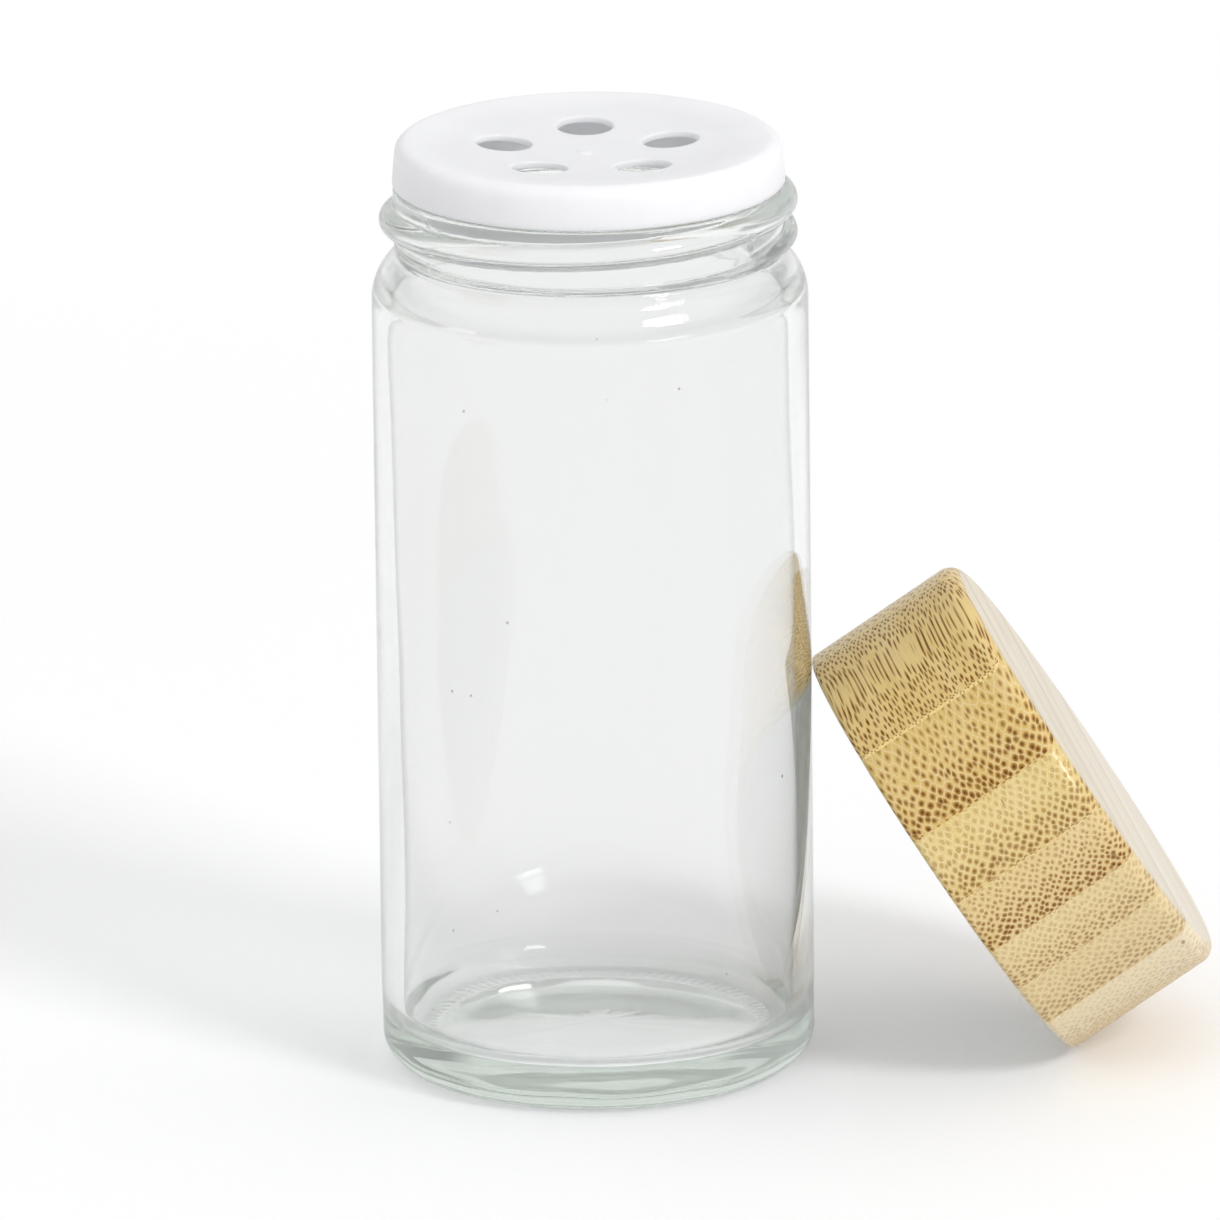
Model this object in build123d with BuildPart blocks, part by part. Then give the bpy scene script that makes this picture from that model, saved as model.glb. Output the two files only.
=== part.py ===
# Spice jar: a round clear glass jar with a moulded screw finish, a white plastic
# shaker insert on its mouth, and a bamboo screw lid that has been taken off and
# leans against the jar. The lid is a turned bamboo shell with a plastic thread
# cup glued into it and a loose foam liner disc.
#
# Millimetres, +Z up. The origin is the centre of the ring that the jar stands on,
# the jar's axis is Z, and the lid leans against the +X side in the plane Y = 0.
from build123d import *
import os
from math import acos, cos, degrees, radians, sin

# Glass body
body_diameter = 44.4
body_wall = 2.2
shoulder_height = 80.5
shoulder_radius = 6.2
heel_radius = 3.4
bearing_ring_width = 2.4
base_thickness = 4.4
push_up = 1.3
push_up_slope_width = 3.0
inner_heel_radius = 2.8
inner_shoulder_drop = 0.5
inner_shoulder_rise = 5.6

# Glass finish: neck, ledge and lip
finish_inset = 2.3
finish_height = 6.8
neck_groove_depth = 0.4
neck_groove_width = 0.6
ledge_width = 1.55
ledge_chamfer = 0.4
lip_height = 2.6
lip_wall = 1.75
lip_chamfer_share = 0.3

# Screw bead around the finish
thread_pitch = 4.233
bead_height = 1.45
bead_half_width = 1.45
bead_root_depth = 0.5
bead_end_margin = 0.93
bead_first_angle = -35
bead_fade_angle = 45

# Shaker insert
insert_fit = 0.15
insert_seat_gap = 0.1
insert_ledge_gap = 0.25
skirt_wall = 1.45
skirt_draft = 0.25
flange_thickness = 2.0
dish_depth = 1.39
web_thickness = 0.7
rim_edge_radius = 1.3
plug_wall = 1.1
plug_depth = 5.0
plug_lead = 0.3
hole_diameter = 5.8
hole_circle_share = 0.58
hole_count = 5
hole_first_angle = 87

# Screw lid
shell_wall = 1.65
shell_top_thickness = 3.0
shell_top_edge_radius = 1.8
shell_rim_chamfer = 0.4
cup_wall = 0.8
cup_top_thickness = 1.0
cup_rim_recess = 0.3
glue_line = 0.1
liner_thickness = 1.2
liner_gap = 0.3
liner_side_gap = 0.4
thread_clearance = 0.25
rim_drop = 0.8

# Screw bead inside the cup
cup_bead_half_width = 0.95
cup_bead_root_depth = 0.35
cup_bead_crest_gap = 0.4
cup_bead_first_height = 1.25
cup_bead_turn_angle = 360
cup_bead_fade_angle = 30

# How the lid leans: the rise of its axis above the floor, and its gap to the glass
lid_axis_rise_angle = 33.3
lean_gap = 0.3

# Rounds are cut as short cones, and the sections of the beads as short flats
round_step_count = 3
dish_step_count = 3
bead_flat_count = 6
cup_bead_flat_count = 4

# Spacing of the sections along a bead, and the size of its buried ends
bead_step_angle = 15
bead_end_height_share = 0.08
bead_end_width_share = 0.5

# Jar radii
body_radius = body_diameter / 2
inner_radius = body_radius - body_wall
finish_radius = body_radius - finish_inset
groove_radius = finish_radius - neck_groove_depth
lip_radius = finish_radius - ledge_width
bore_radius = lip_radius - lip_wall
lip_chamfer = lip_wall * lip_chamfer_share
bearing_outer_radius = body_radius - heel_radius
bearing_inner_radius = bearing_outer_radius - bearing_ring_width
base_panel_radius = bearing_inner_radius - push_up_slope_width

# Jar heights
heel_centre = (bearing_outer_radius, heel_radius)
shoulder_centre = (body_radius - shoulder_radius, shoulder_height)
shoulder_angle = degrees(acos(1 - (body_radius - groove_radius) / shoulder_radius))
neck_base_height = shoulder_height + shoulder_radius * sin(radians(shoulder_angle))
groove_top_height = neck_base_height + neck_groove_width
ledge_height = neck_base_height + finish_height
mouth_height = ledge_height + lip_height
inner_shoulder_height = shoulder_height - inner_shoulder_drop
bore_base_height = inner_shoulder_height + inner_shoulder_rise
inner_heel_centre = (inner_radius - inner_heel_radius, base_thickness + inner_heel_radius)

# Screw bead: it starts as far above the neck as it ends below the ledge
bead_root_radius = finish_radius - bead_root_depth
bead_crest_radius = finish_radius + bead_height
bead_first_height = neck_base_height + bead_end_margin
bead_turn_angle = (finish_height - bead_end_margin - bead_end_margin) / thread_pitch * 360

# Insert radii and heights
skirt_inner_radius = lip_radius + insert_fit
skirt_outer_radius = skirt_inner_radius + skirt_wall
skirt_top_radius = skirt_outer_radius - skirt_draft
plug_outer_radius = bore_radius - insert_fit
plug_inner_radius = plug_outer_radius - plug_wall
hole_circle_radius = plug_inner_radius * hole_circle_share
flange_underside = mouth_height + insert_seat_gap
insert_top = flange_underside + flange_thickness
dish_bottom = insert_top - dish_depth
skirt_bottom = ledge_height + insert_ledge_gap
plug_bottom = flange_underside - plug_depth
rim_crest_radius = skirt_top_radius - rim_edge_radius
rim_edge_centre = (rim_crest_radius, insert_top - rim_edge_radius)
dish_radii = [rim_crest_radius * step / dish_step_count for step in range(dish_step_count)]

# Lid radii
cup_bore_radius = bead_crest_radius + thread_clearance
cup_outer_radius = cup_bore_radius + cup_wall
cavity_radius = cup_outer_radius + glue_line
lid_radius = cavity_radius + shell_wall
liner_radius = cup_bore_radius - liner_side_gap
cup_bead_root_radius = cup_bore_radius + cup_bead_root_depth
cup_bead_crest_radius = finish_radius + cup_bead_crest_gap

# Lid heights above its own rim, from where the rim ends when it is screwed on
liner_underside = insert_top - neck_base_height + rim_drop
liner_top = liner_underside + liner_thickness
cup_ceiling = liner_top + liner_gap
cup_top = cup_ceiling + cup_top_thickness
cavity_depth = cup_top + glue_line
lid_height = cavity_depth + shell_top_thickness
top_edge_centre = (lid_radius - shell_top_edge_radius, lid_height - shell_top_edge_radius)

# Where the lid leans: its chamfered rim stands on the floor and almost touches the glass
lid_rise = radians(lid_axis_rise_angle)
rim_foot_height = (lid_radius - shell_rim_chamfer) * cos(lid_rise)
side_foot_height = lid_radius * cos(lid_rise) - shell_rim_chamfer * sin(lid_rise)
rim_reach = (lid_radius - shell_rim_chamfer) * sin(lid_rise)
side_reach = lid_radius * sin(lid_rise) - shell_rim_chamfer * cos(lid_rise)
lid_centre_x = body_radius + lean_gap + max(rim_reach, side_reach)
lid_centre_z = max(rim_foot_height, side_foot_height)
lid_centre = Vector(lid_centre_x, 0, lid_centre_z)
lid_direction = Vector(cos(lid_rise), 0, sin(lid_rise))
lid_downhill = Vector(sin(lid_rise), 0, -cos(lid_rise))
lid_plane = Plane(origin=lid_centre, x_dir=lid_downhill, z_dir=lid_direction)
lid_profile_plane = Plane(origin=lid_centre, x_dir=lid_downhill, z_dir=(0, -1, 0))
lid_axis = Axis(lid_centre, lid_direction)

os.makedirs("parts", exist_ok=True)


def radial_plane(base, angle, height):
    """Plane through the base plane's axis, with X outwards and Y along the axis."""
    outwards = base.x_dir * cos(radians(angle)) + base.y_dir * sin(radians(angle))
    centre = base.origin + base.z_dir * height
    return Plane(origin=centre, x_dir=outwards, z_dir=outwards.cross(base.z_dir))


def bead_sections(base, root, crest, half_width, flat_count, height, first_angle, turn, fade):
    """Planes and outlines of a screw bead that fades into its wall at both ends."""
    steps = round(turn / bead_step_angle)
    sections = []
    for step in range(steps + 1):
        turned = turn * step / steps
        near_end = min(turned, turn - turned, fade) / fade
        size = sin(radians(90 * near_end))
        height_share = bead_end_height_share + (1 - bead_end_height_share) * size
        width_share = bead_end_width_share + (1 - bead_end_width_share) * size
        climb = height + thread_pitch * turned / 360
        plane = radial_plane(base, first_angle + turned, climb)
        proud = (crest - root) * height_share
        sections.append((plane, bead_outline(root, proud, half_width * width_share, flat_count)))
    return sections


def round_points(centre, radius, first_angle, last_angle):
    """Points of a round edge, from its first angle to its last."""
    turn = radians(last_angle - first_angle) / round_step_count
    angles = [radians(first_angle) + turn * step for step in range(round_step_count + 1)]
    return [(centre[0] + radius * cos(angle), centre[1] + radius * sin(angle)) for angle in angles]


def dish_height(radius):
    """Height of the insert's hollow top face."""
    return dish_bottom + dish_depth * (radius / rim_crest_radius) ** 2


def bead_outline(root, proud, half_width, flat_count):
    """Half oval of a bead's section, standing proud of its root."""
    angles = [radians(180) * flat / flat_count for flat in range(flat_count + 1)]
    return [(root + proud * sin(angle), -half_width * cos(angle)) for angle in angles]


# Glass jar: one turned profile, then the screw bead lofted round its neck
jar_bead = bead_sections(
    Plane.XY,
    bead_root_radius,
    bead_crest_radius,
    bead_half_width,
    bead_flat_count,
    bead_first_height,
    bead_first_angle,
    bead_turn_angle,
    bead_fade_angle,
)

with BuildPart() as glass_jar:
    with BuildSketch(Plane.XZ):
        with BuildLine():
            Polyline(
                (0, push_up),
                (base_panel_radius, push_up),
                (bearing_inner_radius, 0),
                *round_points(heel_centre, heel_radius, -90, 0),
                *round_points(shoulder_centre, shoulder_radius, 0, shoulder_angle),
                (groove_radius, groove_top_height),
                (finish_radius, groove_top_height + neck_groove_depth),
                (finish_radius, ledge_height - ledge_chamfer),
                (finish_radius - ledge_chamfer, ledge_height),
                (lip_radius, ledge_height),
                (lip_radius, mouth_height - lip_chamfer),
                (lip_radius - lip_chamfer, mouth_height),
                (bore_radius + lip_chamfer, mouth_height),
                (bore_radius, mouth_height - lip_chamfer),
                (bore_radius, bore_base_height),
                (inner_radius, inner_shoulder_height),
                *round_points(inner_heel_centre, inner_heel_radius, 0, -90),
                (0, base_thickness),
                close=True,
            )
        make_face()
    revolve(axis=Axis.Z)
    for plane, outline in jar_bead:
        with BuildSketch(plane):
            with BuildLine():
                Polyline(*outline, close=True)
            make_face()
    loft()
glass_jar.part.label = "glass_jar"
export_step(glass_jar.part, "parts/glass_jar.step")

# Shaker insert: hollow top with a skirt over the glass lip, a plug ring in the bore,
# and five round holes in the thin web inside the ring
with BuildPart() as shaker_insert:
    with BuildSketch(Plane.XZ):
        with BuildLine():
            Polyline(
                *[(radius, dish_height(radius) - web_thickness) for radius in dish_radii],
                (plug_inner_radius, dish_height(plug_inner_radius) - web_thickness),
                (plug_inner_radius, plug_bottom),
                (plug_outer_radius - plug_lead, plug_bottom),
                (plug_outer_radius, plug_bottom + plug_lead),
                (plug_outer_radius, flange_underside),
                (skirt_inner_radius, flange_underside),
                (skirt_inner_radius, skirt_bottom),
                (skirt_outer_radius, skirt_bottom),
                *round_points(rim_edge_centre, rim_edge_radius, 0, 90),
                *[(radius, dish_height(radius)) for radius in reversed(dish_radii)],
                close=True,
            )
        make_face()
    revolve(axis=Axis.Z)
    with BuildSketch(Plane.XY.offset(plug_bottom)):
        with PolarLocations(hole_circle_radius, hole_count, start_angle=hole_first_angle):
            Circle(hole_diameter / 2)
    extrude(amount=insert_top - plug_bottom, mode=Mode.SUBTRACT)
shaker_insert.part.label = "shaker_insert"
export_step(shaker_insert.part, "parts/shaker_insert.step")

# Bamboo shell of the lid: a turned block with a rounded top edge and a flat cavity
with BuildPart() as lid_shell:
    with BuildSketch(lid_profile_plane):
        with BuildLine():
            Polyline(
                (0, cavity_depth),
                (cavity_radius, cavity_depth),
                (cavity_radius, 0),
                (lid_radius - shell_rim_chamfer, 0),
                (lid_radius, shell_rim_chamfer),
                *round_points(top_edge_centre, shell_top_edge_radius, 0, 90),
                (0, lid_height),
                close=True,
            )
        make_face()
    revolve(axis=lid_axis)
lid_shell.part.label = "lid_shell"
export_step(lid_shell.part, "parts/lid_shell.step")

# Plastic thread cup glued into the shell, with the bead that runs under the jar's
cup_bead = bead_sections(
    lid_plane,
    cup_bead_root_radius,
    cup_bead_crest_radius,
    cup_bead_half_width,
    cup_bead_flat_count,
    cup_bead_first_height,
    0,
    cup_bead_turn_angle,
    cup_bead_fade_angle,
)

with BuildPart() as lid_thread_cup:
    with BuildSketch(lid_profile_plane):
        with BuildLine():
            Polyline(
                (0, cup_ceiling),
                (cup_bore_radius, cup_ceiling),
                (cup_bore_radius, cup_rim_recess),
                (cup_outer_radius, cup_rim_recess),
                (cup_outer_radius, cup_top),
                (0, cup_top),
                close=True,
            )
        make_face()
    revolve(axis=lid_axis)
    for plane, outline in cup_bead:
        with BuildSketch(plane):
            with BuildLine():
                Polyline(*outline, close=True)
            make_face()
    loft()
lid_thread_cup.part.label = "lid_thread_cup"
export_step(lid_thread_cup.part, "parts/lid_thread_cup.step")

# Foam liner disc, loose under the cup's ceiling, which seals against the insert
with BuildPart() as lid_liner:
    with BuildSketch(lid_plane.offset(liner_underside)):
        Circle(liner_radius)
    extrude(amount=liner_thickness)
lid_liner.part.label = "lid_liner"
export_step(lid_liner.part, "parts/lid_liner.step")
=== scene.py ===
# Spice jar: clear glass jar with a screw finish, white shaker insert, and a bamboo
# screw lid that leans against the glass. Lengths in the code are millimetres and
# become metres when a mesh is made.
from math import cos, pi, radians, sin

import bpy
import numpy as np
from mathutils import Matrix, Vector
from mathutils.geometry import delaunay_2d_cdt


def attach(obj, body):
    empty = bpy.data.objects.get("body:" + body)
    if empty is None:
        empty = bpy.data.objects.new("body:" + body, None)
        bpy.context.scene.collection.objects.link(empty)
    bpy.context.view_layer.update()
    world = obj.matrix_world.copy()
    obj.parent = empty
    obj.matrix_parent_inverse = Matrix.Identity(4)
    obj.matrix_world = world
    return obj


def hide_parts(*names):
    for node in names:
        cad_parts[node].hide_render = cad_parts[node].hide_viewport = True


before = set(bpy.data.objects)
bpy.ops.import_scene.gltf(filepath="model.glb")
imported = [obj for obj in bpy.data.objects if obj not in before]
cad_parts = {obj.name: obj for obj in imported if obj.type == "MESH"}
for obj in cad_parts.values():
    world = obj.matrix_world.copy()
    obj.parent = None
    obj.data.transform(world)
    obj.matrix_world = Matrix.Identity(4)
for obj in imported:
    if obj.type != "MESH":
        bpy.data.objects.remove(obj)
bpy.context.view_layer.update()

# A millimetre in metres, and the millimetres of a metre
MM, PER_M = 0.001, 1000
# Columns round the turned pieces, and the angle from which an edge is sharp
JAR_N, LID_N, LINER_N, CREASE = 384, 288, 192, 50

# Jar, outside
BODY_R, SHOULDER_Z, SHOULDER_R, SHOULDER_SWEEP, HEEL_R = 22.2, 80.5, 6.2, 53, 3.4
PUSH_UP, PUSH_UP_R, RING_IN, RING_OUT = 1.3, 16.3, 16.4, 18.8
GROOVE_R, FINISH_R, LIP_R = 19.5, 19.9, 18.35
NECK_ROOT = [(19.62, 85.5), (19.53, 85.62)]
NECK_FOOT, GROOVE_TOP, GROOVE_RISE, LEDGE_Z, MOUTH_Z = 85.72, 86.1, 0.6, 92.418, 95.018
LEDGE_ROUND, LIP_FILLET, MOUTH_ROUND = 0.4, 0.25, 0.7
PITCH, BEAD_Z, BEAD_START, BEAD_TURN, BEAD_FADE = 4.233, 86.548, -35.0, 420.13, 45.0
BEAD_ROOT, BEAD_PROUD, BEAD_HALF, BEAD_BLEND, NECK_LOW = 19.4, 1.95, 1.45, 0.35, 84.0
KNURL, KNURL_BARS, KNURL_HIGH, HEEL_IN, HEEL_LOW, HEEL_TOP = 0.03, 96, 0.1, 0.06, 0.2, 7

# Jar, inside
INNER_R, BORE_R, THROAT_Z, THROAT_ROUND = BODY_R - 2.2, 16.6, 86.5, 1.5
INNER_SLOPE, INNER_ROUND, INNER_TOP = 31.3, 1.0, 80.6
FLOOR_Z, FLOOR_CROWN, FLOOR_R, INNER_HEEL_R = 4.4, 0.25, 17.2, 2.8
RIPPLE, RIPPLE_LOW, RIPPLE_TOP, SWAY_LOW, SWAY_TOP = 0.035, 78.5, 88, 8, 85

# Insert
FLANGE_UNDER, INSERT_TOP, SKIRT_Z = 95.118, 97.118, 92.668
DISH_LOW, DISH_R, WEB = 95.728, 18.4, 0.7
SKIRT_IN, SKIRT_OUT, SKIRT_TOP, SKIRT_ROUND, SKIRT_EDGE = 18.5, 19.95, 19.70, 1.3, 0.25
PLUG_OUT, PLUG_IN, PLUG_Z, TOP_R = 16.45, 15.35, 90.118, 17.6
PLUG_OUT_ROUND, PLUG_IN_ROUND = 0.4, 0.3
HOLES, HOLE_R, HOLE_CIRCLE, HOLE_FIRST = 5, 2.9, 8.903, 87.0
HOLE_LIP, HOLE_LIP_AWAY, HOLE_LIP_WIDTH = 0.035, 0.45, 0.35
GATE, GATE_R, GATE_HIGH, GATE_SOFT = (-0.4, -0.5), 0.75, 0.22, 0.10

# Lid, along its own axis from its rim
LID_R, LID_H, LID_EDGE, LID_RIM = 24.15, 17.9, 1.8, 0.65
CAVITY_R, CAVITY_H, CAVITY_LIP = 22.5, 14.9, 0.2
CUP_IN, CUP_OUT, CUP_RIM, CUP_CEIL, CUP_TOP, CUP_ROUND, CUP_LIP = 21.6, 22.4, 0.3, 13.8, 14.8, 0.5, 0.2
CUP_BEAD_Z, CUP_BEAD_TURN, CUP_BEAD_FADE, CUP_BEAD_TOP = 1.25, 360.0, 30.0, 7.3
CUP_BEAD_ROOT, CUP_BEAD_PROUD, CUP_BEAD_HALF, CUP_BEAD_BLEND = CUP_IN + 0.35, 1.65, 0.95, 0.25
LINER_R, LINER_LOW, LINER_HIGH, LINER_ROUND = 21.2, 12.3, 13.5, 0.3
LEAN = radians(33.3)
LID_CENTRE = Vector((35.539, 0.0, 19.965)) * MM


# Mesh helpers
def arc(cx, cy, r, a0, a1, n):
    """Points on a round from angle a0 to a1 in degrees."""
    return [(cx + r * cos(radians(a)), cy + r * sin(radians(a))) for a in np.linspace(a0, a1, n)]


def line(p, q, n):
    """n points from p to q without the ends."""
    return [(p[0] + (q[0] - p[0]) * t, p[1] + (q[1] - p[1]) * t) for t in np.linspace(0, 1, n + 2)[1:-1]]


def ring(cx, cy, r, n):
    """n points of a circle."""
    return [(cx + r * cos(2 * pi * i / n), cy + r * sin(2 * pi * i / n)) for i in range(n)]


def make(name, verts, faces, material, matrix=None, smooth_angle=None):
    """An object with a smooth mesh given in millimetres."""
    mesh = bpy.data.meshes.new(name)
    mesh.from_pydata((np.asarray(verts) * MM).tolist(), [], faces)
    mesh.validate()
    mesh.materials.append(material)
    mesh.shade_smooth()
    if smooth_angle:
        mesh.set_sharp_from_angle(angle=radians(smooth_angle))
    obj = bpy.data.objects.new(name, mesh)
    bpy.context.scene.collection.objects.link(obj)
    if matrix is not None:
        obj.matrix_world = matrix
    return obj


def turned(profile, columns, shape=None):
    """Verts and faces of a profile turned round Z. It runs from the axis round the outside and
    back to the axis. shape changes the grids of radius and height, and gets the angles in degrees."""
    body = np.array(profile, float)[1:-1]
    theta = np.arange(columns) * 360.0 / columns
    r = np.repeat(body[:, :1], columns, 1)
    z = np.repeat(body[:, 1:], columns, 1)
    if shape:
        r, z = shape(r, z, theta)
    t = np.radians(theta)
    verts = np.stack([r * np.cos(t), r * np.sin(t), z], -1).reshape(-1, 3).tolist()
    k = np.arange(columns)
    k2 = (k + 1) % columns
    faces = []
    for i in range(len(body) - 1):
        low, high = i * columns, (i + 1) * columns
        faces += np.stack([low + k, low + k2, high + k2, high + k], -1).tolist()
    verts.append([0.0, 0.0, float(np.mean(z[0]))])
    verts.append([0.0, 0.0, float(np.mean(z[-1]))])
    first_pole, last_pole = len(verts) - 2, len(verts) - 1
    last = (len(body) - 1) * columns
    faces += [[first_pole, int(b), int(a)] for a, b in zip(k, k2)]
    faces += [[last_pole, last + int(a), last + int(b)] for a, b in zip(k, k2)]
    return verts, faces


def smooth_max(a, b, k):
    """The larger of a and b, blended over a width of k."""
    h = np.clip(0.5 + 0.5 * (a - b) / k, 0, 1)
    return b + (a - b) * h + k * h * (1 - h)


def bead(r, z, theta, root, proud, half, start_z, start, turn, fade, soft, inwards=False):
    """Radii with a screw bead blended onto them."""
    best = np.full(r.shape, -99.0)
    for lap in (-1, 0, 1, 2):
        t = theta + 360.0 * lap - start
        near = np.clip(np.minimum(np.minimum(t, turn - t), fade) / fade, 0, 1)
        size = np.sin(near * pi / 2)
        on = (t >= 0) & (t <= turn)
        w = half * (0.5 + 0.5 * size)
        d = np.abs(z - (start_z + PITCH * t / 360.0)) / w
        oval = np.sqrt(np.clip(1 - d * d, 0, 1)) - np.clip(d - 1, 0, 4) * 2
        best = np.maximum(best, np.where(on, proud * (0.08 + 0.92 * size) * oval, -99.0))
    best = np.clip(best, -3, None)
    if inwards:
        return -smooth_max(-r, -(root - best), soft)
    return smooth_max(r, root + best, soft)


def within(z, low, high, rise, fall):
    """1 between two heights, running out to 0 at both."""
    return np.clip((z - low) / rise, 0, 1) * np.clip((high - z) / fall, 0, 1)


# Shader helpers
BUMP_DEPTH = 0.0002


def material(name):
    """A material with a Principled shader on its surface."""
    mat = bpy.data.materials.new(name)
    mat.use_nodes = True
    nt = mat.node_tree
    nt.nodes.clear()
    out = nt.nodes.new("ShaderNodeOutputMaterial")
    bsdf = nt.nodes.new("ShaderNodeBsdfPrincipled")
    nt.links.new(bsdf.outputs[0], out.inputs["Surface"])
    return mat, nt, bsdf, out


def feed(nt, socket, value):
    """Links a socket to another one, or gives it a plain value."""
    if isinstance(value, bpy.types.NodeSocket):
        nt.links.new(value, socket)
    elif value is not None:
        socket.default_value = value


def node(nt, kind, **inputs):
    """A node whose inputs are fed by name."""
    n = nt.nodes.new("ShaderNode" + kind)
    for key, value in inputs.items():
        feed(nt, n.inputs[key], value)
    return n


def calc(nt, op, a, b=None, c=None, clamp=False):
    n = nt.nodes.new("ShaderNodeMath")
    n.operation, n.use_clamp = op, clamp
    for s, v in zip(n.inputs, (a, b, c)):
        feed(nt, s, v)
    return n.outputs[0]


def times(nt, first, *others):
    for other in others:
        first = calc(nt, "MULTIPLY", first, other)
    return first


def plus(nt, a, b):
    return calc(nt, "ADD", a, b)


def linear(nt, value, factor, shift):
    """value * factor + shift."""
    return calc(nt, "MULTIPLY_ADD", value, factor, shift)


def mix(nt, factor, a, b):
    n = nt.nodes.new("ShaderNodeMix")
    n.data_type, n.clamp_factor = "RGBA", True
    for index, value in ((0, factor), (6, a), (7, b)):
        feed(nt, n.inputs[index], value)
    return n.outputs[2]


def span(nt, value, lo, hi, to_lo=0.0, to_hi=1.0):
    """Runs smoothly from to_lo to to_hi while the value goes from lo to hi."""
    n = nt.nodes.new("ShaderNodeMapRange")
    n.interpolation_type = "SMOOTHSTEP"
    for key, v in (("Value", value), ("From Min", lo), ("From Max", hi), ("To Min", to_lo), ("To Max", to_hi)):
        feed(nt, n.inputs[key], v)
    return n.outputs[0]


def noise(nt, vector, detail=2.0, rough=0.5, colour=False):
    n = node(nt, "TexNoise", Vector=vector, Scale=1.0, Detail=detail, Roughness=rough)
    return n.outputs["Color" if colour else "Fac"]


def voronoi(nt, vector, scale, random, feature="F1", dims="2D"):
    n = nt.nodes.new("ShaderNodeTexVoronoi")
    n.voronoi_dimensions, n.feature = dims, feature
    for key, v in (("Vector", vector), ("Scale", scale), ("Randomness", random)):
        feed(nt, n.inputs[key], v)
    return n.outputs


def mapping(nt, scale, rotate=(0, 0, 0), move=(0, 0, 0)):
    """Object coordinates, scaled alike along the axes where scale is one number."""
    coords = nt.nodes.new("ShaderNodeTexCoord").outputs["Object"]
    if isinstance(scale, (int, float)):
        scale = (scale, scale, scale)
    return node(nt, "Mapping", Vector=coords, Scale=scale, Rotation=rotate, Location=move).outputs[0]


def xyz(nt, vector):
    return node(nt, "SeparateXYZ", Vector=vector).outputs


def channels(nt, colour):
    return node(nt, "SeparateColor", Color=colour).outputs


def combine(nt, x, y, z=0.0):
    return node(nt, "CombineXYZ", X=x, Y=y, Z=z).outputs[0]


def scaled(nt, values, factors):
    return combine(nt, *[times(nt, v, k) for v, k in zip(values, factors)])


def length(nt, vector):
    n = nt.nodes.new("ShaderNodeVectorMath")
    n.operation = "LENGTH"
    feed(nt, n.inputs[0], vector)
    return n.outputs["Value"]


def ramp(nt, value, stops, mode="LINEAR"):
    """Colours along a value. A stop's colour is three numbers, or one for a grey."""
    n = nt.nodes.new("ShaderNodeValToRGB")
    n.color_ramp.interpolation = mode
    elements = n.color_ramp.elements
    while len(elements) < len(stops):
        elements.new(1.0)
    for element, (position, colour) in zip(elements, stops):
        element.position = position
        element.color = (*colour, 1) if isinstance(colour, tuple) else (colour, colour, colour, 1)
    feed(nt, n.inputs[0], value)
    return n.outputs[0]


def bump(nt, bsdf, height, strength):
    """Relief up to BUMP_DEPTH, in metres."""
    n = node(nt, "Bump", Strength=strength, Distance=BUMP_DEPTH, Height=height)
    nt.links.new(n.outputs[0], bsdf.inputs["Normal"])


def mix_shader(nt, factor, a, b):
    n = nt.nodes.new("ShaderNodeMixShader")
    for s, v in zip(n.inputs, (factor, a, b)):
        feed(nt, s, v)
    return n.outputs[0]


def backdrop_rays(nt):
    """Light Path, and 1 for the rays that see the white background: camera, glossy and transmission."""
    path = nt.nodes.new("ShaderNodeLightPath").outputs
    direct = plus(nt, path["Is Camera Ray"], path["Is Glossy Ray"])
    return path, calc(nt, "ADD", direct, path["Is Transmission Ray"], clamp=True)


def srgb(*c):
    return tuple(((v / 255 + 0.055) / 1.055) ** 2.4 if v > 10 else v / 255 / 12.92 for v in c)


def rgba(*c):
    return (*srgb(*c), 1)


# Materials
def clear_glass():
    """Glass with a faint green in its thick parts, painted shade in its colour that draws darker lines where it is
    seen edge-on, and a few fine seeds. Shadow rays pass with a light tint, and rays from a reflection pass partly
    straight on."""
    mat, nt, bsdf, out = material("clear_glass")
    cells = voronoi(nt, mapping(nt, PER_M), 0.16, 1.0, dims="3D")
    chosen = calc(nt, "GREATER_THAN", xyz(nt, cells["Color"])[0], 0.55)
    seeds = times(nt, chosen, span(nt, cells["Distance"], 0.034, 0.018))
    # Painted shade: the glass colour turns nearly black where it is seen edge-on, drawing the dark outlines of the
    # glass
    edge = node(nt, "LayerWeight", Blend=0.5).outputs["Facing"]
    tint_with_painted_edge_shade = mix(nt, span(nt, edge, 0.74, 0.94), (0.94, 0.94, 0.94, 1), (0.10, 0.12, 0.11, 1))
    feed(nt, bsdf.inputs["Base Color"], mix(nt, seeds, tint_with_painted_edge_shade, (0.30, 0.30, 0.28, 1)))
    bsdf.inputs["Transmission Weight"].default_value = 1.0
    bsdf.inputs["IOR"].default_value = 1.52
    bsdf.inputs["Roughness"].default_value = 0.0
    waves = noise(nt, mapping(nt, (110, 110, 45)), 1.0)
    bump(nt, bsdf, plus(nt, waves, times(nt, seeds, -0.6)), 0.35)
    absorb = nt.nodes.new("ShaderNodeVolumeAbsorption")
    absorb.inputs["Color"].default_value = (0.68, 0.82, 0.71, 1)
    absorb.inputs["Density"].default_value = 14.0
    nt.links.new(absorb.outputs[0], out.inputs["Volume"])
    path = nt.nodes.new("ShaderNodeLightPath").outputs
    clear = node(nt, "BsdfTransparent", Color=(0.56, 0.57, 0.57, 1)).outputs[0]
    onward = node(nt, "BsdfTransparent", Color=(0.95, 0.96, 0.95, 1)).outputs[0]
    partly = mix_shader(nt, 0.28, bsdf.outputs[0], onward)
    mirrored = mix_shader(nt, path["Is Reflection Ray"], bsdf.outputs[0], partly)
    either = mix_shader(nt, path["Is Shadow Ray"], mirrored, clear)
    nt.links.new(either, out.inputs["Surface"])
    return mat


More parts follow.
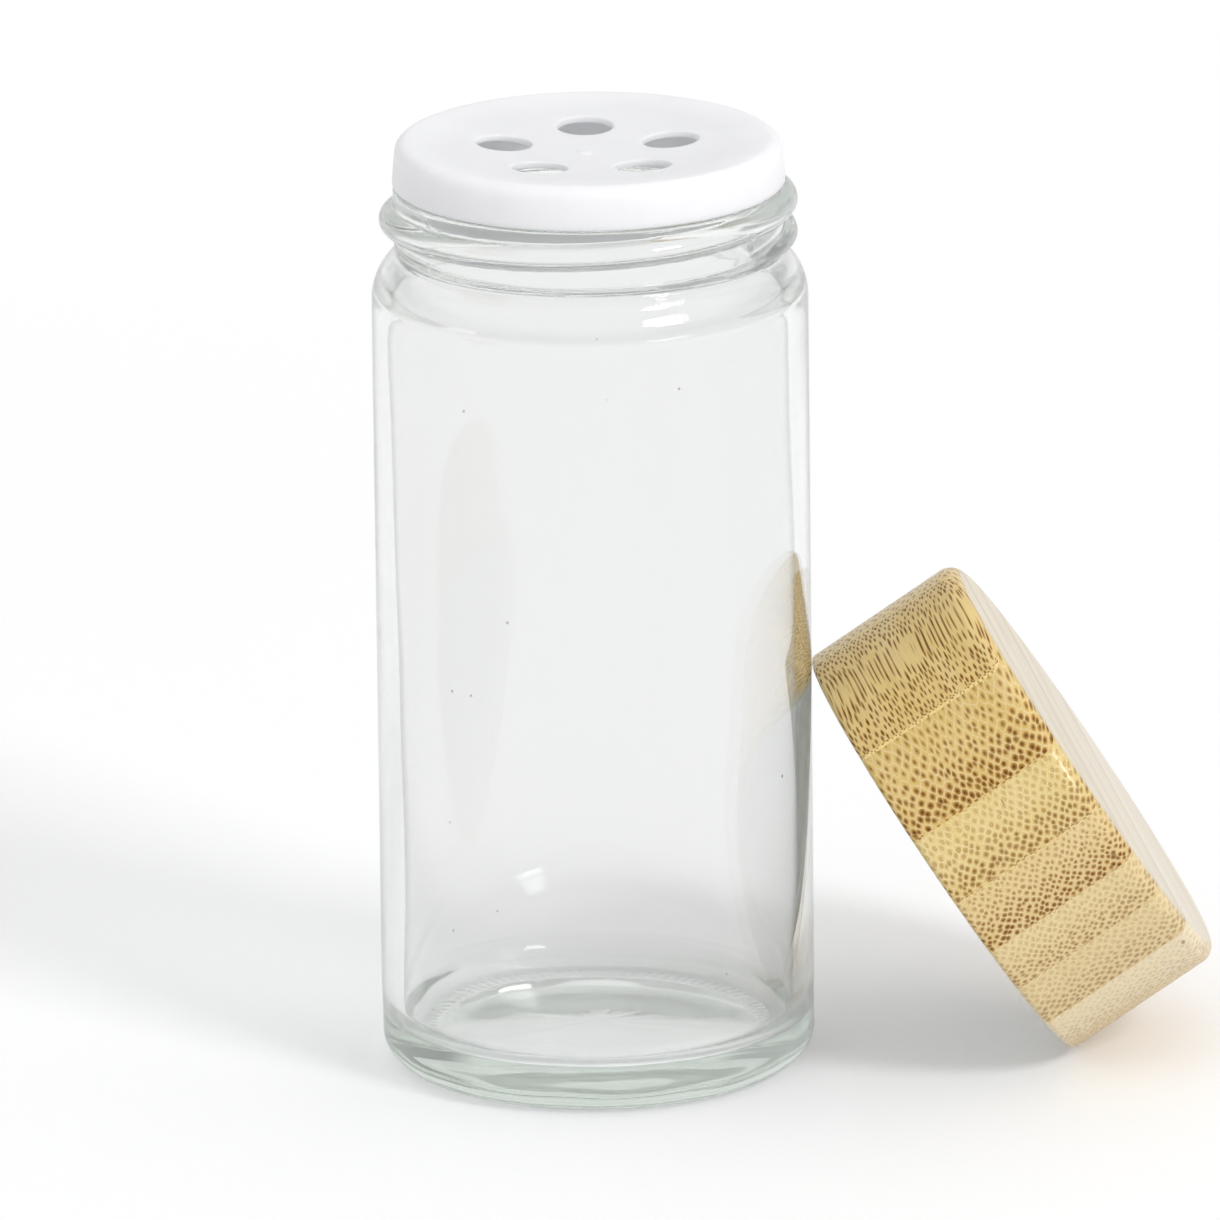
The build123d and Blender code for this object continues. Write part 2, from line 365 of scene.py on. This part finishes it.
def moulded(name, colour, rough, grain, subsurface):
    """A moulded plastic with a faint flow of tone and a fine satin grain."""
    mat, nt, bsdf, out = material(name)
    tone = span(nt, noise(nt, mapping(nt, 130), 3.0), 0.3, 0.7)
    dark = tuple(c * 0.955 for c in colour)
    feed(nt, bsdf.inputs["Base Color"], mix(nt, tone, (*dark, 1), (*colour, 1)))
    feed(nt, bsdf.inputs["Roughness"], span(nt, noise(nt, mapping(nt, 900)), 0.3, 0.7, rough - 0.04, rough + 0.05))
    bsdf.inputs["Subsurface Weight"].default_value = subsurface
    bsdf.inputs["Subsurface Radius"].default_value = (0.0025, 0.0025, 0.0026)
    bsdf.inputs["Subsurface Scale"].default_value = 1.0
    bump(nt, bsdf, noise(nt, mapping(nt, 2600)), grain)
    return mat


def liner_foam():
    """Fine closed cells under a thin skin."""
    mat, nt, bsdf, out = material("liner_foam")
    pores = voronoi(nt, mapping(nt, 3200), 1.0, 1.0, dims="3D")["Distance"]
    tone = span(nt, pores, 0.15, 0.75)
    feed(nt, bsdf.inputs["Base Color"], mix(nt, tone, rgba(224, 224, 220), rgba(242, 242, 238)))
    bsdf.inputs["Roughness"].default_value = 0.7
    bump(nt, bsdf, pores, 0.25)
    return mat


# The lid's strips: where their glue lines lie across it, and for each strip how strongly its bundles show, how
# closely they stand, whether they are hollow, and its ground. The grounds are partly each strip's own tone and
# partly painted light: each was made lighter or darker to even out how the lamp falls on it.
GRAIN_TURN = radians(-20)
GLUE_LINES = [-28.7, -22.56, -16.53, -10.36, -4.24, 1.43, 8.22, 14.4, 20.6, 27.0]
STRIPS = [
    (0.95, 1.00, 0.0, (247, 221, 148)),
    (1.0, 0.66, 0.0, (222, 189, 110)),
    (0.74, 0.64, 1.0, (228, 203, 134)),
    (0.95, 0.71, 0.6, (223, 196, 136)),
    (0.55, 0.67, 1.0, (226, 204, 152)),
    (0.46, 0.59, 1.0, (223, 202, 153)),
    (0.28, 0.60, 0.5, (240, 225, 192)),
    (0.55, 0.60, 0.5, (222, 198, 148)),
    (0.9, 0.6, 0.0, (222, 190, 122))]
THIN_BEFORE = -20
GLUE_GAP = 2e-4
# Dark marks of the wood: centre and half sizes in the lid's own axes, and tone
MARKS = [
    ((16.78, -17.37, 16.3), (0.45, 0.45, 0.25), (142, 112, 70)),
    ((2.78, -23.99, 16.1), (0.55, 0.5, 0.28), (128, 82, 40)),
    ((-8.14, -22.74, 9.9), (0.42, 0.4, 0.07), (96, 66, 26))]
BUNDLE_SCATTER = 0.52


def bamboo_wood():
    """Strips of a laminated board, seen at their ends where the fibres meet the surface and along
    their length where they lie in it. Coordinates in millimetres: u across the strips, f along the
    fibres, a along the lid's axis, v from one side of a strip to the other."""
    mat, nt, bsdf, out = material("bamboo")
    u, f, a = xyz(nt, mapping(nt, PER_M, rotate=(0, 0, GRAIN_TURN)))
    drift = xyz(nt, noise(nt, scaled(nt, (u, f, a), (0.12, 0.035, 0.12)), colour=True))
    us = plus(nt, u, linear(nt, drift[0], 1.1, -0.55))
    av = plus(nt, a, linear(nt, drift[1], 2.6, -1.3))
    first, width = GLUE_LINES[0], GLUE_LINES[-1] - GLUE_LINES[0]
    place = calc(nt, "DIVIDE", calc(nt, "SUBTRACT", u, first), width)
    stops, flat_stops, grounds = [], [], []
    for p, q, (show, close, hollow, ground) in zip(GLUE_LINES, GLUE_LINES[1:], STRIPS):
        start, end = (p - first) / width, (q - first) / width
        stops += [(start + GLUE_GAP, (0.0, show, 0.0)), (end - GLUE_GAP, (1.0, show, 0.0))]
        flat_stops += [(start, (hollow, close, 1.0 if q < THIN_BEFORE else 0.0))]
        grounds += [(start, srgb(*ground))]
    v, show = channels(nt, ramp(nt, place, stops))[:2]
    hollow, close, thin = channels(nt, ramp(nt, place, flat_stops, "CONSTANT"))
    close = times(nt, close, 2.0)

    # Bundles stand in staggered rows, closer and darker towards the high side of a strip
    row = times(nt, plus(nt, us, times(nt, v, v, 0.9)), close)
    column = times(nt, av, close, linear(nt, thin, 0.25, 1.12))
    where = scaled(nt, (plus(nt, row, column), calc(nt, "SUBTRACT", row, column)), (0.72, 0.72))
    cells = voronoi(nt, where, 1.0, BUNDLE_SCATTER)
    far, each = cells["Distance"], xyz(nt, cells["Color"])
    reach = times(nt, span(nt, v, 0.0, 0.95, 0.31, 0.50), linear(nt, thin, -0.17, 1.0))
    reach = times(nt, reach, linear(nt, each[0], 0.30, 0.82))
    spot = span(nt, far, reach, times(nt, reach, 0.58))
    vessel = span(nt, far, times(nt, reach, 0.50), times(nt, reach, 0.15))
    depth = times(nt, show, span(nt, v, 0.0, 0.9, 0.58, 1.0), linear(nt, each[1], 0.35, 0.70))
    middle = span(nt, far, times(nt, reach, 0.50), times(nt, reach, 0.22))
    middle = times(nt, middle, hollow, span(nt, v, 0.75, 0.25))
    spots = calc(nt, "MULTIPLY", times(nt, spot, depth), linear(nt, middle, -0.7, 1.0), clamp=True)
    cores = calc(nt, "MULTIPLY", times(nt, vessel, depth), calc(nt, "SUBTRACT", 1.0, middle), clamp=True)
    rim = voronoi(nt, where, 1.0, BUNDLE_SCATTER, feature="DISTANCE_TO_EDGE")["Distance"]
    net = times(nt, span(nt, rim, 0.13, 0.03), linear(nt, thin, -1.0, 1.0))
    streak = noise(nt, scaled(nt, (us, f, av), (3.2, 0.10, 3.2)), 4.0, 0.6)
    blotch = noise(nt, scaled(nt, (u, f, a), (0.3, 0.06, 0.3)))

    # Strip grounds: own tone with painted light that evens out how the lamp falls on each strip
    wood = ramp(nt, place, grounds, "CONSTANT")
    for factor, colour in (
            (times(nt, span(nt, v, 0.3, 1.0), show, 0.35), (190, 146, 74)),
            (times(nt, net, 0.50), (244, 226, 180)),
            (times(nt, span(nt, streak, 0.35, 0.75), 0.22), (186, 142, 76)),
            (times(nt, span(nt, blotch, 0.4, 0.8), 0.25), (240, 220, 172)),
            (times(nt, spots, 0.92), (146, 94, 8)),
            (times(nt, cores, 0.95), (82, 44, 0))):
        wood = mix(nt, factor, wood, rgba(*colour))
    for centre, sizes, colour in MARKS:
        away = length(nt, mapping(nt, [PER_M / k for k in sizes], move=[-c / k for c, k in zip(centre, sizes)]))
        wood = mix(nt, times(nt, span(nt, away, 1.2, 0.5), 0.75), wood, rgba(*colour))
    top_face = span(nt, a, LID_H - 0.18, LID_H - 0.04)
    wood = mix(nt, times(nt, top_face, 0.72), wood, rgba(216, 206, 187))
    feed(nt, bsdf.inputs["Base Color"], wood)
    wear = plus(nt, spots, times(nt, streak, 0.4))
    feed(nt, bsdf.inputs["Roughness"], span(nt, wear, 0.0, 1.2, 0.34, 0.6))
    bsdf.inputs["Specular IOR Level"].default_value = 0.25
    bsdf.inputs["Coat Weight"].default_value = 0.3
    bsdf.inputs["Coat Roughness"].default_value = 0.15
    bump(nt, bsdf, calc(nt, "SUBTRACT", times(nt, streak, 0.25), spots), 0.30)
    return mat


glass = clear_glass()
white_plastic = moulded("white_plastic", srgb(248, 248, 254), 0.40, 0.05, 0.6)
cup_plastic = moulded("cup_plastic", srgb(240, 239, 234), 0.42, 0.06, 0.1)
foam = liner_foam()
bamboo = bamboo_wood()

# Jar glass: outside from the push-up to the lip, then down the inside
outside = [(PUSH_UP_R * s, PUSH_UP * (1 - s * s) ** 1.3) for s in np.linspace(0, 1, 26)]
outside += line((PUSH_UP_R, 0), (RING_OUT, 0), 12)
outside += arc(RING_OUT, HEEL_R, HEEL_R, -90, 0, 18)
outside += line((BODY_R, HEEL_R), (BODY_R, SHOULDER_Z), 30)
outside += arc(BODY_R - SHOULDER_R, SHOULDER_Z, SHOULDER_R, 0, SHOULDER_SWEEP, 18)
outside += NECK_ROOT
for height in np.linspace(NECK_FOOT, LEDGE_Z - LEDGE_ROUND - 0.02, 64):
    rise = float(np.clip((height - GROOVE_TOP) / GROOVE_RISE, 0, 1))
    outside.append((GROOVE_R + (FINISH_R - GROOVE_R) * rise, float(height)))
outside += arc(FINISH_R - LEDGE_ROUND, LEDGE_Z - LEDGE_ROUND, LEDGE_ROUND, 0, 90, 6)
outside += line((FINISH_R - LEDGE_ROUND, LEDGE_Z), (LIP_R + LIP_FILLET, LEDGE_Z), 3)
outside += arc(LIP_R + LIP_FILLET, LEDGE_Z + LIP_FILLET, LIP_FILLET, 270, 180, 5)
outside += line((LIP_R, LEDGE_Z + LIP_FILLET), (LIP_R, MOUTH_Z - MOUTH_ROUND), 4)
outside += arc(LIP_R - MOUTH_ROUND, MOUTH_Z - MOUTH_ROUND, MOUTH_ROUND, 0, 90, 8)
n_outside = len(outside)

inside = arc(BORE_R + MOUTH_ROUND, MOUTH_Z - MOUTH_ROUND, MOUTH_ROUND, 90, 180, 8)[1:]
inside += line((BORE_R, MOUTH_Z - MOUTH_ROUND), (BORE_R, THROAT_Z), 12)
throat = arc(BORE_R + THROAT_ROUND, THROAT_Z, THROAT_ROUND, 180, 180 + INNER_SLOPE, 7)
corner = arc(INNER_R - INNER_ROUND, INNER_TOP, INNER_ROUND, INNER_SLOPE, 0, 7)
inside += throat + line(throat[-1], corner[0], 16) + corner
inside += line((INNER_R, INNER_TOP), (INNER_R, FLOOR_Z + INNER_HEEL_R), 36)
inside += arc(INNER_R - INNER_HEEL_R, FLOOR_Z + INNER_HEEL_R, INNER_HEEL_R, 0, -90, 14)
inside += [(r, FLOOR_Z + FLOOR_CROWN * (1 - (r / FLOOR_R) ** 2)) for r in np.linspace(FLOOR_R, 0, 16)[1:]]


def glass_shape(r, z, theta):
    """Adds the screw bead, the knurl of the standing ring, the lumps of the heel and the waves of
    the inner wall and floor."""
    outer = np.arange(len(r))[:, None] + 1 < n_outside
    t = np.radians(theta)[None, :]
    neck = outer & (z > NECK_LOW) & (z < LEDGE_Z - 0.05)
    screw = bead(r, z, theta[None, :], BEAD_ROOT, BEAD_PROUD, BEAD_HALF, BEAD_Z,
                 BEAD_START, BEAD_TURN, BEAD_FADE, BEAD_BLEND)
    r = np.where(neck, screw, r)
    knurl = outer & (r > RING_IN + 0.2) & (r < RING_OUT - 0.1) & (z < KNURL_HIGH)
    z = np.where(knurl, z + KNURL * (0.5 + 0.5 * np.cos(KNURL_BARS * t)), z)
    heel = outer & (z > HEEL_LOW) & (z < HEEL_TOP)
    lumps = 0.045 * np.sin(5 * t + 1.0 + 0.5 * z) + 0.03 * np.sin(11 * t - 0.8 * z) + 0.02 * np.sin(19 * t + 2.0)
    r = np.where(heel, r - HEEL_IN + lumps * np.clip((HEEL_TOP - z) / 3, 0, 1), r)
    ripple = RIPPLE * np.sin(4.2 * z + 0.8 * np.sin(2 * t))
    r = np.where(outer, r, r + ripple * within(z, RIPPLE_LOW, RIPPLE_TOP, 1.5, 1.5))
    sway = 0.10 * np.sin(2 * t + 0.7 + z * 0.020) + 0.07 * np.sin(3 * t + 2.1 - z * 0.035)
    sway = sway + 0.05 * np.sin(5 * t + z * 0.05)
    r = np.where(outer, r, r + sway * within(z, SWAY_LOW, SWAY_TOP, 12, 6))
    low = ~outer & (z < SWAY_LOW) & (r > 1)
    z = np.where(low, z + 0.05 * np.sin(3 * t + 0.4) * np.clip(r / 17, 0, 1), z)
    return r, z


verts, faces = turned(outside + inside, JAR_N, glass_shape)
jar = make("jar_glass", verts, faces, glass)
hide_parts("glass_jar")
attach(jar, "jar")

# Shaker insert: turned rim, skirt and plug, and two pierced discs joined by the holes
RIM_N, HOLE_N, GATE_N = 160, 48, 32
GRID_STEP, GRID_ROW, GRID_EDGE = 0.7, 0.866, 0.45
TOP_RINGS = (0.12, 0.25, 0.4, 0.6, 0.85)
GATE_RINGS, GATE_CLEAR = (0.45, 0.6, 0.75, 0.9, 1.1), 1.4
hole_angles = [radians(HOLE_FIRST + 360 / HOLES * k) for k in range(HOLES)]
holes = [(HOLE_CIRCLE * cos(angle), HOLE_CIRCLE * sin(angle)) for angle in hole_angles]


def dish(x, y):
    """Height of the hollow top face."""
    return DISH_LOW + (INSERT_TOP - DISH_LOW) * (np.hypot(x, y) / DISH_R) ** 2


def insert_top(x, y):
    """The hollow top with faint lips round the holes and the mark of the gate."""
    z = dish(x, y)
    for hx, hy in holes:
        d = np.hypot(x - hx, y - hy) - HOLE_R
        z = z + HOLE_LIP * np.exp(-((d - HOLE_LIP_AWAY) / HOLE_LIP_WIDTH) ** 2)
    d = np.hypot(x - GATE[0], y - GATE[1])
    return z + GATE_HIGH / (1 + np.exp((d - GATE_R) / GATE_SOFT))


def pierced(radius, hole_ring, rings):
    """Triangles of a disc with the holes, with the gate's mark where rings are given. Gives points,
    triangles, and the loops of the rim and of each hole."""
    points = ring(0, 0, radius, RIM_N)
    loops = [list(range(RIM_N))]
    for cx, cy in holes:
        loops.append(list(range(len(points), len(points) + HOLE_N)))
        points += ring(cx, cy, hole_ring, HOLE_N)
    for cx, cy in holes:
        for extra in rings:
            points += ring(cx, cy, hole_ring + extra, HOLE_N)
    if rings:
        for r in GATE_RINGS:
            points += ring(*GATE, r, GATE_N)
        points.append(GATE)
    far = (rings[-1] if rings else 0.2) + 0.35
    for i in range(-26, 27):
        for j in range(-30, 31):
            x, y = i * GRID_STEP + (j % 2) * GRID_STEP / 2, j * GRID_STEP * GRID_ROW
            from_hole = min(np.hypot(x - cx, y - cy) for cx, cy in holes) - hole_ring
            off_gate = not rings or np.hypot(x - GATE[0], y - GATE[1]) > GATE_CLEAR
            if np.hypot(x, y) < radius - GRID_EDGE and from_hole > far and off_gate:
                points.append((x, y))
    links = [(l[i], l[(i + 1) % len(l)]) for l in loops for i in range(len(l))]
    made = delaunay_2d_cdt([Vector(p) for p in points], links, [], 0, 1e-6)
    p, tris, source = np.array([tuple(q) for q in made[0]]), [list(t) for t in made[2]], made[3]
    where = {s: k for k, group in enumerate(source) for s in group}
    c = p[np.array(tris)].mean(1)
    keep = np.hypot(c[:, 0], c[:, 1]) < radius
    for cx, cy in holes:
        keep &= np.hypot(c[:, 0] - cx, c[:, 1] - cy) > hole_ring * 0.999
    tris = [t for t, k in zip(tris, keep) if k]
    return p, tris, [[where[i] for i in l] for l in loops]


def facing(p, tris, up):
    """Triangles wound so that all of them face up, or all down."""
    fixed = []
    for t in tris:
        a, b, c = p[t[0]], p[t[1]], p[t[2]]
        area = (b[0] - a[0]) * (c[1] - a[1]) - (b[1] - a[1]) * (c[0] - a[0])
        fixed.append(t if (area > 0) == up else t[::-1])
    return fixed


def add_ring(points):
    """Adds points to verts and gives their loop."""
    loop = list(range(len(verts), len(verts) + len(points)))
    verts.extend(points)
    return loop


def join(loops, inwards):
    """Adds the quads between neighbouring loops to faces."""
    for one, two in zip(loops, loops[1:]):
        for i in range(len(one)):
            j = (i + 1) % len(one)
            faces.append([one[i], one[j], two[j], two[i]] if inwards else [one[i], two[i], two[j], one[j]])


top_p, top_t, top_l = pierced(TOP_R, HOLE_R + 0.16, TOP_RINGS)
low_p, low_t, low_l = pierced(PLUG_IN, HOLE_R + 0.12, ())
verts = [[x, y, z] for (x, y), z in zip(top_p, insert_top(top_p[:, 0], top_p[:, 1]))]
faces = facing(top_p, top_t, True)
base = len(verts)
verts += [[x, y, z] for (x, y), z in zip(low_p, dish(low_p[:, 0], low_p[:, 1]) - WEB)]
faces += [[base + i for i in t] for t in facing(low_p, low_t, False)]
low_l = [[base + i for i in l] for l in low_l]

skirt = []
for r in np.linspace(TOP_R, 18.2, 4)[1:]:
    skirt.append((float(r), float(dish(r, 0)) - 0.02 * (r - TOP_R) / (DISH_R - TOP_R)))
skirt += arc(DISH_R, INSERT_TOP - SKIRT_ROUND, SKIRT_ROUND, 86, 2, 12)
skirt += line((SKIRT_TOP, INSERT_TOP - SKIRT_ROUND), (SKIRT_OUT, SKIRT_Z + SKIRT_EDGE), 6)
skirt += arc(SKIRT_OUT - SKIRT_EDGE, SKIRT_Z + SKIRT_EDGE, SKIRT_EDGE, 0, -90, 4)
skirt += arc(SKIRT_IN + SKIRT_EDGE, SKIRT_Z + SKIRT_EDGE, SKIRT_EDGE, 270, 180, 4)
skirt += line((SKIRT_IN, SKIRT_Z + SKIRT_EDGE), (SKIRT_IN, FLANGE_UNDER - 0.02), 3)
skirt += [(SKIRT_IN, FLANGE_UNDER), (TOP_R, FLANGE_UNDER)]
skirt += [(PLUG_OUT + 0.1, FLANGE_UNDER), (PLUG_OUT, FLANGE_UNDER - 0.1)]
skirt += line((PLUG_OUT, FLANGE_UNDER - 0.1), (PLUG_OUT, PLUG_Z + PLUG_OUT_ROUND), 4)
skirt += arc(PLUG_OUT - PLUG_OUT_ROUND, PLUG_Z + PLUG_OUT_ROUND, PLUG_OUT_ROUND, 0, -90, 4)
skirt += arc(PLUG_IN + PLUG_IN_ROUND, PLUG_Z + PLUG_IN_ROUND, PLUG_IN_ROUND, 270, 180, 4)
skirt += line((PLUG_IN, PLUG_Z + PLUG_IN_ROUND), (PLUG_IN, float(dish(PLUG_IN, 0)) - WEB), 5)
skirt_loops = [add_ring([[x, y, z] for x, y in ring(0, 0, r, RIM_N)]) for r, z in skirt]
join([top_l[0]] + skirt_loops + [low_l[0]], False)

# Each hole's wall from top to bottom: how much wider it is than the hole, and how deep
hole_wall = [(0.07, 0.02), (0.01, 0.08), (0, 0.16), (0, WEB - 0.10), (0.04, WEB - 0.03)]
for (cx, cy), top_loop, low_loop in zip(holes, top_l[1:], low_l[1:]):
    walls = [top_loop]
    for wider, drop in hole_wall:
        circle = ring(cx, cy, HOLE_R + wider, HOLE_N)
        walls.append(add_ring([[x, y, float(dish(x, y)) + 0.01 - drop] for x, y in circle]))
    join(walls + [low_loop], True)
insert = make("insert_cap", verts, faces, white_plastic, smooth_angle=CREASE)
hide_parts("shaker_insert")
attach(insert, "insert")

# Lid pieces are made upright about their own axis and then laid where the lid leans
lid_matrix = Matrix.Translation(LID_CENTRE) @ Matrix((
    (sin(LEAN), 0, cos(LEAN), 0), (0, 1, 0, 0), (-cos(LEAN), 0, sin(LEAN), 0), (0, 0, 0, 1)))

shell = [(0, CAVITY_H)] + line((0, CAVITY_H), (CAVITY_R, CAVITY_H), 6) + [(CAVITY_R, CAVITY_H)]
shell += line((CAVITY_R, CAVITY_H), (CAVITY_R, CAVITY_LIP), 6)
shell += arc(CAVITY_R + CAVITY_LIP, CAVITY_LIP, CAVITY_LIP, 180, 270, 3)
shell += arc(LID_R - LID_RIM, LID_RIM, LID_RIM, -90, 0, 7)
shell += line((LID_R, LID_RIM), (LID_R, LID_H - LID_EDGE), 14)
shell += arc(LID_R - LID_EDGE, LID_H - LID_EDGE, LID_EDGE, 0, 90, 12)
shell += [(r, LID_H) for r in np.linspace(LID_R - LID_EDGE, 0, 14)[1:]]
verts, faces = turned(shell, LID_N)
lid = make("lid_bamboo", verts, faces, bamboo, lid_matrix, smooth_angle=CREASE)
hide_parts("lid_shell")
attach(lid, "lid")

cup = [(0, CUP_CEIL)] + line((0, CUP_CEIL), (CUP_IN - CUP_ROUND, CUP_CEIL), 6)
cup += arc(CUP_IN - CUP_ROUND, CUP_CEIL - CUP_ROUND, CUP_ROUND, 90, 0, 5)
cup += line((CUP_IN, CUP_CEIL - CUP_ROUND), (CUP_IN, CUP_BEAD_TOP + 0.1), 8)
cup += [(CUP_IN, float(height)) for height in np.linspace(CUP_BEAD_TOP, CUP_RIM + CUP_LIP, 64)]
cup += arc(CUP_IN + CUP_LIP, CUP_RIM + CUP_LIP, CUP_LIP, 180, 270, 4)
cup += arc(CUP_OUT - CUP_LIP, CUP_RIM + CUP_LIP, CUP_LIP, -90, 0, 4)
cup += line((CUP_OUT, CUP_RIM + CUP_LIP), (CUP_OUT, CUP_TOP), 6) + [(CUP_OUT, CUP_TOP)]
cup += line((CUP_OUT, CUP_TOP), (0, CUP_TOP), 4) + [(0, CUP_TOP)]


def cup_shape(r, z, theta):
    """Adds the screw bead of the cup."""
    inner = (np.abs(r - CUP_IN) < 1e-6) & (z < CUP_BEAD_TOP + 0.7)
    made = bead(r, z, theta[None, :], CUP_BEAD_ROOT, CUP_BEAD_PROUD, CUP_BEAD_HALF, CUP_BEAD_Z,
                0.0, CUP_BEAD_TURN, CUP_BEAD_FADE, CUP_BEAD_BLEND, inwards=True)
    return np.where(inner, made, r), z


verts, faces = turned(cup, LID_N, cup_shape)
cup_piece = make("lid_cup", verts, faces, cup_plastic, lid_matrix, smooth_angle=CREASE)
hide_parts("lid_thread_cup")
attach(cup_piece, "lid")

# The liner's face keeps the print of the insert's edge: radius, and how deep it is pressed in
PRINT = [(0, 0.05), (8, 0.05), (14, 0.04), (16.8, 0.02), (17.3, 0.12), (17.9, 0.2), (18.6, 0.12), (19.1, 0)]
liner = [(r, LINER_LOW + depth) for r, depth in PRINT]
liner += arc(LINER_R - LINER_ROUND, LINER_LOW + LINER_ROUND, LINER_ROUND, -90, 0, 5)
liner += arc(LINER_R - LINER_ROUND, LINER_HIGH - LINER_ROUND, LINER_ROUND, 0, 90, 5)
liner += [(12, LINER_HIGH), (0, LINER_HIGH)]
verts, faces = turned(liner, LINER_N)
liner_piece = make("lid_seal", verts, faces, foam, lid_matrix, smooth_angle=CREASE)
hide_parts("lid_liner")
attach(liner_piece, "liner")

# Floor, with a painted pool of light under the jar that stands in for the light the glass gathers there, and white
# far from the lamp
FLOOR_HALF, FLOOR_DROP = 3000, -0.05
floor_mat, nt, bsdf, out = material("floor")
nt.nodes.remove(bsdf)
path, seen = backdrop_rays(nt)
from_axis = length(nt, mapping(nt, (PER_M, PER_M, 0)))
# Painted light: an emission glow on the floor under the jar, in place of the light that the glass would gather
# there
painted_glow_under_jar = span(nt, from_axis, 19.0, 15.0, 0.0, 0.26)
distant = times(nt, span(nt, from_axis, 150.0, 1500.0, 0.0, 0.5), path["Is Camera Ray"])
strength = linear(nt, seen, plus(nt, painted_glow_under_jar, 0.16), distant)
diffuse = node(nt, "BsdfDiffuse", Color=(0.88, 0.88, 0.885, 1))
glow = node(nt, "Emission", Color=(1, 1, 1, 1), Strength=strength)
both = nt.nodes.new("ShaderNodeAddShader")
nt.links.new(diffuse.outputs[0], both.inputs[0])
nt.links.new(glow.outputs[0], both.inputs[1])
nt.links.new(both.outputs[0], out.inputs["Surface"])
corners = [(x * FLOOR_HALF, y * FLOOR_HALF, FLOOR_DROP) for x, y in ((-1, -1), (1, -1), (1, 1), (-1, 1))]
floor = make("floor", corners, [[0, 1, 2, 3]], floor_mat)

# World: soft studio light, white where it is seen, with a darker card at each side that draws the glass
world = bpy.data.worlds.new("studio")
bpy.context.scene.world = world
world.use_nodes = True
nt = world.node_tree
nt.nodes.clear()
out = nt.nodes.new("ShaderNodeOutputWorld")
direction = xyz(nt, nt.nodes.new("ShaderNodeTexCoord").outputs["Generated"])
side, height = direction[0], linear(nt, direction[2], 0.5, 0.5)
shade = ramp(nt, height, [(0.5, 0.68), (0.7, 0.70), (0.85, 0.78), (1.0, 0.80)])
tone = ramp(nt, height, [
    (0.0, 0.8), (0.5, 1.0), (0.54, 0.82), (0.60, 0.80), (0.66, (0.72, 0.74, 0.72)),
    (0.74, (0.76, 0.78, 0.76)), (0.78, 0.92), (1.0, 1.0)])
cards = plus(nt, span(nt, side, 0.46, 0.62, 0.0, 0.75), span(nt, side, -0.26, -0.40, 0.0, 0.50))
belt = times(nt, span(nt, height, 0.60, 0.63), span(nt, height, 0.735, 0.705))
surround = mix(nt, times(nt, cards, belt), tone, (0, 0, 0, 1))
skies = [node(nt, "Background", Color=colour, Strength=1.0).outputs[0] for colour in (shade, surround)]
nt.links.new(mix_shader(nt, backdrop_rays(nt)[1], *skies), out.inputs["Surface"])

# Key lamp: a soft light that looks at the jar from above, to the right of the camera
LAMP_AZIMUTH, LAMP_ELEVATION, LAMP_AWAY, LAMP_SIZE, LAMP_POWER = radians(40), radians(36), 2.5, 0.62, 23.5
towards = Vector((
    sin(LAMP_AZIMUTH) * cos(LAMP_ELEVATION), -cos(LAMP_AZIMUTH) * cos(LAMP_ELEVATION), sin(LAMP_ELEVATION)))
lamp_data = bpy.data.lights.new("key", "AREA")
lamp_data.shape, lamp_data.size, lamp_data.size_y = "RECTANGLE", LAMP_SIZE, LAMP_SIZE
lamp_data.energy = LAMP_POWER
lamp = bpy.data.objects.new("key", lamp_data)
lamp.location = Vector((0.01, 0, 0.04)) + towards * LAMP_AWAY
lamp.rotation_mode = "QUATERNION"
lamp.rotation_quaternion = towards.to_track_quat("Z", "Y")
bpy.context.scene.collection.objects.link(lamp)

# Camera, fitted to the photograph
TILT, SPIN, ROLL = radians(16.33), radians(5.07), radians(-0.66)
AWAY, FOCAL_PIXELS, IMAGE_PIXELS, SENSOR = 1.94946, 19110.6, 1220, 36.0
back = Vector((-sin(SPIN) * cos(TILT), -cos(SPIN) * cos(TILT), sin(TILT)))
level = Vector((cos(SPIN), -sin(SPIN), 0))
over = back.cross(level)
across = cos(ROLL) * level + sin(ROLL) * over
upright = -sin(ROLL) * level + cos(ROLL) * over
eye = Vector((1.657, -0.147, 47.306)) * MM + back * AWAY
lens = bpy.data.cameras.new("camera")
lens.sensor_width = SENSOR
lens.lens = FOCAL_PIXELS / IMAGE_PIXELS * SENSOR
lens.clip_start, lens.clip_end = 0.1, 20
camera = bpy.data.objects.new("camera", lens)
camera.matrix_world = Matrix((
    (across.x, upright.x, back.x, eye.x), (across.y, upright.y, back.y, eye.y),
    (across.z, upright.z, back.z, eye.z), (0, 0, 0, 1)))
bpy.context.scene.collection.objects.link(camera)
bpy.context.scene.camera = camera
bpy.context.scene.view_settings.view_transform = "Standard"

bpy.context.view_layer.update()
